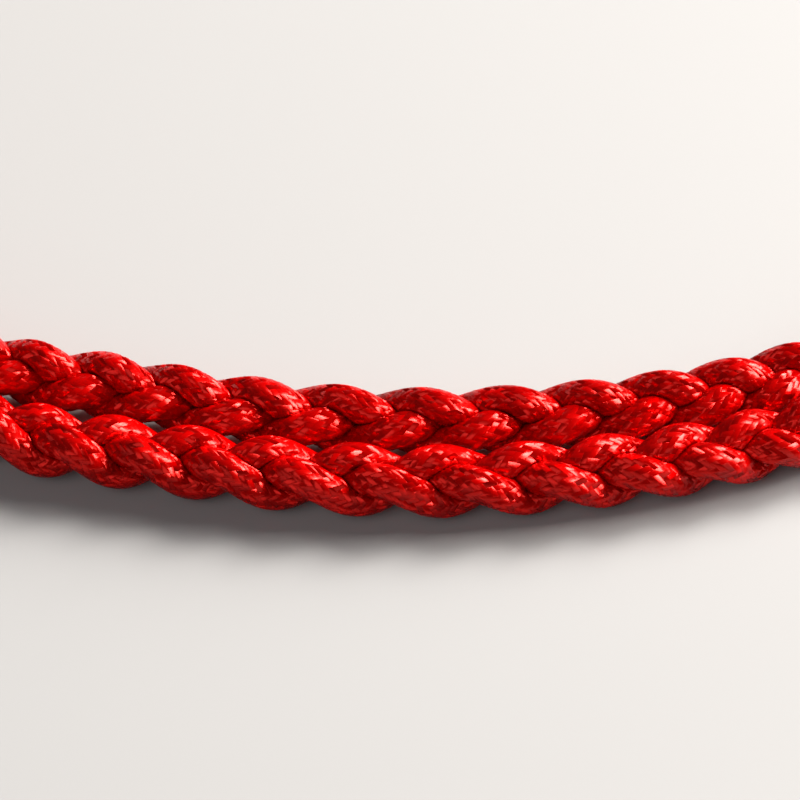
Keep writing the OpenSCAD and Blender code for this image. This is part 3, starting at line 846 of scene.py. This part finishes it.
def cast_brass():
    """Sand-cast brass, tumbled and handled: brown in its hollows, bright on its edges, with a fine grain."""
    material, tree, shader = new_material("cast_brass", Metallic=1.0)
    place = object_place(tree)
    wear = tree.nodes.new("ShaderNodeAttribute")
    wear.attribute_name = "edge_wear"
    edge = wear.outputs["Fac"]
    cloud = noise(tree, place, 110.0, 4.0, 0.6)
    spots = noise(tree, place, 420.0, 3.0, 0.6)
    grain = noise(tree, place, 2600.0)
    scratch = noise(tree, object_place(tree, (160, 2600, 2600)), 1.0)
    base = mixed(tree, cloud, *BRASS_CAST)
    for amount, colour in (
        (ranged(tree, cloud, 0.44, 0.66, 0.0, 0.65), BRASS_BROWNED),
        (ranged(tree, spots, 0.58, 0.75, 0.0, 0.5), BRASS_SPOTTED),
        (ranged(tree, edge, 0.47, 0.36, 0.0, 0.85), BRASS_IN_CORNERS),
        (ranged(tree, edge, 0.55, 0.70, 0.0, 0.8), BRASS_ON_EDGES),
    ):
        base = mixed(tree, amount, base, colour)
    give(tree, base, shader.inputs["Base Color"])
    rough = calc(tree, "ADD", ranged(tree, cloud, 0.35, 0.7, 0.27, 0.45),
                 ranged(tree, edge, 0.55, 0.7, 0.0, -0.09))
    give(tree, rough, shader.inputs["Roughness"])
    height = calc(tree, "ADD", calc(tree, "MULTIPLY", grain, 0.6), calc(tree, "MULTIPLY", scratch, 0.5))
    bump(tree, shader, calc(tree, "ADD", height, spots), 0.02 * MM, 0.6)
    return material


def turned_brass(name, scale):
    """Brass from the lathe, with fine rings; scale is large along the piece's own axis."""
    material, tree, shader = new_material(name, Metallic=1.0)
    rings = noise(tree, object_place(tree, scale), 1.0, 3.0, 0.6)
    cloud = noise(tree, object_place(tree), 160.0, 4.0, 0.6)
    spots = noise(tree, object_place(tree), 700.0)
    base = mixed(tree, rings, *BRASS_TURNED)
    base = mixed(tree, ranged(tree, cloud, 0.5, 0.72, 0.0, 0.6), base, TURNED_BROWNED)
    base = mixed(tree, ranged(tree, spots, 0.62, 0.78, 0.0, 0.5), base, TURNED_SPOTTED)
    give(tree, base, shader.inputs["Base Color"])
    give(tree, ranged(tree, cloud, 0.35, 0.7, 0.2, 0.38), shader.inputs["Roughness"])
    bump(tree, shader, rings, 0.02 * MM, 0.7)
    return material


def spring_steel():
    """Drawn wire, streaked along its length and rusting a little."""
    material, tree, shader = new_material("spring_steel", Metallic=1.0)
    along, around = cord_places(tree)
    streaks = combined(tree, calc(tree, "MULTIPLY", along, 150.0),
                       calc(tree, "MULTIPLY", around, 14.0), 0.0)
    drawn = noise(tree, streaks, 1.0)
    base = mixed(tree, drawn, *STEEL)
    base = mixed(tree, ranged(tree, drawn, 0.6, 0.75, 0.0, 0.5), base, STEEL_RUST)
    give(tree, base, shader.inputs["Base Color"])
    give(tree, ranged(tree, drawn, 0.3, 0.7, 0.22, 0.42), shader.inputs["Roughness"])
    bump(tree, shader, drawn, 0.01 * MM)
    return material


def edge_wear(obj):
    """Writes how far each vertex stands out: 0.5 where flat, more on edges and less in corners."""
    mesh = obj.data
    count = len(mesh.vertices)
    place, normal = np.empty(count * 3), np.empty(count * 3)
    mesh.vertices.foreach_get("co", place)
    mesh.vertices.foreach_get("normal", normal)
    place, normal = place.reshape(-1, 3), normal.reshape(-1, 3)
    edges = np.empty(len(mesh.edges) * 2, dtype=np.int64)
    mesh.edges.foreach_get("vertices", edges)
    a, b = edges.reshape(-1, 2).T
    step = place[b] - place[a]
    length = np.maximum(np.linalg.norm(step, axis=1), 1e-9)
    near = np.bincount(a, minlength=count) + np.bincount(b, minlength=count)
    lean = np.bincount(a, -(step * normal[a]).sum(1) / length, count)
    lean += np.bincount(b, (step * normal[b]).sum(1) / length, count)
    lean /= np.maximum(near, 1)
    for _ in range(WEAR_PASSES):
        around = np.bincount(a, lean[b], count) + np.bincount(b, lean[a], count)
        lean = (lean + around / np.maximum(near, 1)) / 2
    point_value(obj, "edge_wear", np.clip(0.5 + lean * WEAR_GAIN, 0, 1))


def select_only(*pieces):
    """Selects these pieces alone, the first of them active."""
    bpy.ops.object.select_all(action="DESELECT")
    for piece in pieces:
        piece.select_set(True)
    bpy.context.view_layer.objects.active = pieces[0]


def apply_modifier(obj, name, kind, **settings):
    modifier = obj.modifiers.new(name, kind)
    for key, value in settings.items():
        setattr(modifier, key, value)
    select_only(obj)
    bpy.ops.object.modifier_apply(modifier=name)


def casting(name, node, body, voxel, smoothing):
    """A copy of a CAD casting with its sharp edges melted into small fillets, as the sand leaves them."""
    obj = bpy.data.objects.new(name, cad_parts[node].data.copy())
    bpy.context.collection.objects.link(obj)
    select_only(obj)
    bpy.ops.object.mode_set(mode="EDIT")
    bpy.ops.mesh.select_all(action="SELECT")
    bpy.ops.mesh.remove_doubles(threshold=WELD_GAP)
    bpy.ops.object.mode_set(mode="OBJECT")
    apply_modifier(obj, "Remesh", "REMESH", mode="VOXEL", voxel_size=voxel)
    apply_modifier(obj, "Smooth", "SMOOTH", factor=0.5, iterations=smoothing)
    obj.data.shade_smooth()
    edge_wear(obj)
    dress(obj, brass_cast)
    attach(obj, body)
    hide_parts(node)


# ---------------------------------------------------------------- the thumb stud, modelled step by step
SNAP_X, SNAP_Y, SNAP_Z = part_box("snap_body")[0].x, AXIS_Y, BAR_Z
HOOK_ROLL = math.radians(8.0)
PIN_X = SNAP_X + 35.9 * MM
STUD_R, PIN_R = 4.2 * MM, 2.0 * MM
STUD_FOOT, STUD_TOP, PIN_FOOT = 7.9 * MM, 12.9 * MM, 0.95 * MM
STUD_AXIS = Vector((0, -math.cos(HOOK_ROLL), math.sin(HOOK_ROLL)))
STUD_RIBS = 24
DOME_DEPTH = 0.7 * MM                   # the dome's height over the plain cylinder
# Steps in from the rim: how far in and how far up, in mm. They make a low dome, dished for the thumb
DOME_STEPS = ((0.5, 0.34), (0.9, 0.24), (0.8, 0.08), (0.35, -0.16))
FOOT_INSET, FOOT_STEP = 0.7 * MM, 0.12 * MM
RIB_INSET, RIB_DEPTH = 0.16 * MM, 0.2 * MM
PIN_SIDES, PIN_OVERLAP = 32, 0.5 * MM
PIN_INSET, PIN_STEP = 0.3 * MM, 0.02 * MM
STUD_BEVEL, PIN_BEVEL = 0.11 * MM, 0.2 * MM
SMOOTH_UP_TO = math.radians(38)


def start_piece(name, vertices, radius, low, high):
    """A cylinder along the stud's axis, between two distances from the bolt's middle."""
    bpy.ops.object.select_all(action="DESELECT")
    middle = Vector((PIN_X, SNAP_Y, SNAP_Z)) + STUD_AXIS * (low + high) / 2
    bpy.ops.mesh.primitive_cylinder_add(
        vertices=vertices, radius=radius, depth=high - low, calc_uvs=False, location=middle,
        rotation=STUD_AXIS.to_track_quat("Z", "Y").to_euler())
    obj = bpy.context.object
    obj.name = name
    bpy.ops.object.transform_apply(location=True, rotation=True, scale=True)
    return obj


def pick_faces(obj, wanted):
    """Selects, in edit mode, the faces for which wanted(face) is true."""
    bpy.ops.object.mode_set(mode="OBJECT")
    for element in (*obj.data.vertices, *obj.data.edges):
        element.select = False
    for face in obj.data.polygons:
        face.select = bool(wanted(face))
    bpy.ops.object.mode_set(mode="EDIT")
    bpy.ops.mesh.select_mode(type="FACE")


def faces_up(face):
    return face.normal.dot(STUD_AXIS) > 0.9


def faces_down(face):
    return face.normal.dot(STUD_AXIS) < -0.9


def stud_head():
    """The ribbed, dished button that the thumb pushes."""
    obj = start_piece("thumb_stud", STUD_RIBS * 2, STUD_R, STUD_FOOT, STUD_TOP - DOME_DEPTH)
    pick_faces(obj, faces_up)
    for inset, rise in DOME_STEPS:
        bpy.ops.mesh.inset(thickness=inset * MM)
        bpy.ops.transform.translate(value=STUD_AXIS * rise * MM)
    pick_faces(obj, faces_down)
    bpy.ops.mesh.inset(thickness=FOOT_INSET)
    bpy.ops.transform.translate(value=-STUD_AXIS * FOOT_STEP)
    # Every other side face is pushed in, which leaves the ribs
    sides = [face.index for face in obj.data.polygons if abs(face.normal.dot(STUD_AXIS)) < 0.1]
    hollows = set(sides[::2])
    pick_faces(obj, lambda face: face.index in hollows)
    bpy.ops.mesh.inset(thickness=RIB_INSET, use_individual=True)
    bpy.ops.transform.shrink_fatten(value=-RIB_DEPTH)
    bpy.ops.object.mode_set(mode="OBJECT")
    return obj


def stud_pin():
    pin = start_piece("stud_pin", PIN_SIDES, PIN_R, PIN_FOOT, STUD_FOOT + PIN_OVERLAP)
    pick_faces(pin, faces_down)
    bpy.ops.mesh.inset(thickness=PIN_INSET)
    bpy.ops.transform.translate(value=-STUD_AXIS * PIN_STEP)
    bpy.ops.object.mode_set(mode="OBJECT")
    return pin


def thumb_stud():
    obj, pin = stud_head(), stud_pin()
    apply_modifier(obj, "Bevel", "BEVEL", width=STUD_BEVEL, segments=2, limit_method="ANGLE")
    apply_modifier(pin, "Bevel", "BEVEL", width=PIN_BEVEL, segments=2, limit_method="ANGLE")
    select_only(obj, pin)
    bpy.ops.object.join()
    bpy.ops.object.shade_smooth_by_angle(angle=SMOOTH_UP_TO)
    stud_brass = turned_brass("turned_brass_stud", (LATHE_EVEN, LATHE_FINE, LATHE_EVEN))
    dress(obj, stud_brass)
    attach(obj, "bolt")
    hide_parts("bolt_stud")


# ---------------------------------------------------------------- the spring
spring_low, spring_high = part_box("bolt_spring")
WIRE = 0.9 * MM
SPRING_TURNS, FLAT_TURNS = 9, 1.0
SPRING_POINTS, WIRE_SIDES = 48, 12      # points in each turn, and sides of the wire


def bolt_spring():
    """A coil spring with its end turns closed flat against each other."""
    turn = np.linspace(0, SPRING_TURNS, SPRING_TURNS * SPRING_POINTS + 1)
    r = (spring_high.z - spring_low.z) / 2 - WIRE / 2
    length = spring_high.x - spring_low.x
    open_share = np.clip((turn - FLAT_TURNS) / (SPRING_TURNS - 2 * FLAT_TURNS), 0, 1)
    closed = WIRE * (np.minimum(turn, FLAT_TURNS) + np.maximum(turn - SPRING_TURNS + FLAT_TURNS, 0))
    x = spring_low.x + WIRE / 2 + closed + (length - WIRE - 2 * FLAT_TURNS * WIRE) * open_share
    a = 2 * np.pi * turn
    path = np.stack([x, SNAP_Y + r * np.cos(a), SNAP_Z + r * np.sin(a)], axis=1)
    obj = tubes_object("coil_spring", [sweep(path, WIRE / 2, WIRE_SIDES, (1, 0, 0))])
    dress(obj, spring_steel())
    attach(obj, "snap")
    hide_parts("bolt_spring")
    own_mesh(obj)


def repaint(node, material):
    """Gives a finished material to a CAD node that is shown as it is."""
    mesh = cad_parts[node].data
    if not mesh.materials:
        mesh.materials.append(material)
    for index in range(len(mesh.materials)):
        mesh.materials[index] = material


brass_cast = cast_brass()
brass_turned = turned_brass("turned_brass", (LATHE_FINE, LATHE_EVEN, LATHE_EVEN))
casting("snap_casting", "snap_body", "snap", voxel=0.32 * MM, smoothing=7)
casting("swivel_casting", "swivel_eye", "eye", voxel=0.26 * MM, smoothing=4)
thumb_stud()
bolt_spring()
for turned in ("snap_bolt", "swivel_collar", "swivel_washer"):
    repaint(turned, brass_turned)

# ---------------------------------------------------------------- floor and light
FLOOR_SIZE, FLOOR_ROUGHNESS = 6, 0.8
FLOOR_PALE = (0.34, 0.333, 0.326, 1)
WARM, COOL = (1, 0.97, 0.94), (0.95, 0.97, 1)
SKY_STRENGTH = 0.08
# Soft lights: where each hangs from the camera's aim, its size and power, and its tint
LIGHTS = (
    ("key", (1.2, 1.15, 1.4), 0.9, 60, WARM),
    ("side", (1.8, 0.75, 0.95), 1.4, 166, WARM),
    ("fill", (-1.4, -1.8, 1.8), 2.4, 28, COOL),
)


def add_floor():
    bpy.ops.mesh.primitive_plane_add(size=FLOOR_SIZE, location=(COIL_X, COIL_Y, 0))
    floor = bpy.context.object
    floor.name = "studio_floor"
    material, _, shader = new_material("studio_floor", Roughness=FLOOR_ROUGHNESS)
    shader.inputs["Base Color"].default_value = FLOOR_PALE
    floor.data.materials.append(material)


def add_light(name, offset, size, power, tint):
    light = bpy.data.lights.new(name, "AREA")
    light.size = size
    light.energy = power
    light.color = tint
    obj = bpy.data.objects.new(name, light)
    obj.location = CAM_AIM + Vector(offset)
    obj.rotation_euler = (-Vector(offset)).to_track_quat("-Z", "Y").to_euler()
    bpy.context.collection.objects.link(obj)


def add_sky():
    world = bpy.context.scene.world or bpy.data.worlds.new("studio")
    bpy.context.scene.world = world
    world.use_nodes = True
    background = world.node_tree.nodes["Background"]
    background.inputs["Color"].default_value = (*COOL, 1)
    background.inputs["Strength"].default_value = SKY_STRENGTH
    bpy.context.scene.view_settings.view_transform = "Standard"


add_floor()
for light_values in LIGHTS:
    add_light(*light_values)
add_sky()

# ---------------------------------------------------------------- the rope's first point and its last two cords, evaluated and left unused
tuple(LINE[0])
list(cords[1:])
